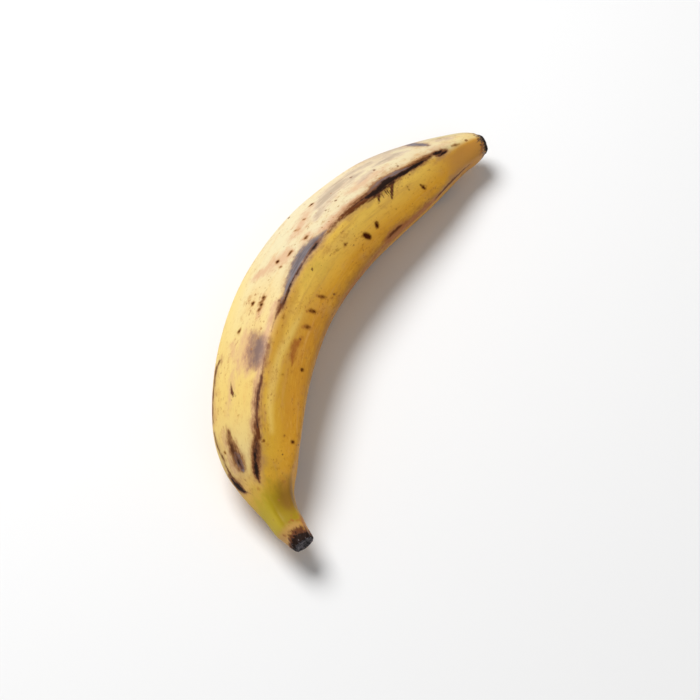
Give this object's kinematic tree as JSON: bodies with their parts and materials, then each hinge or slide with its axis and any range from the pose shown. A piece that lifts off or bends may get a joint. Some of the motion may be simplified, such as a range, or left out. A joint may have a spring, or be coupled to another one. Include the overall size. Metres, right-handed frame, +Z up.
{
  "type": "plantain",
  "caption": "Whole ripe plantain lying on its side: a long curved fruit with blunt lengthwise ridges, a slim cut stalk at one end and a dry blossom scar at the other.",
  "frame": {"origin": "under the middle of the fruit's box, on the surface it lies on", "axes": "+X along the fruit from the stalk to the blossom end, +Y towards the outside of the bend, +Z up"},
  "size_m": [0.2506, 0.0814, 0.0468],
  "materials": {
    "peel": "satin"
  },
  "bodies": {
    "root": {"plantain": "peel"}
  },
  "joints": []
}
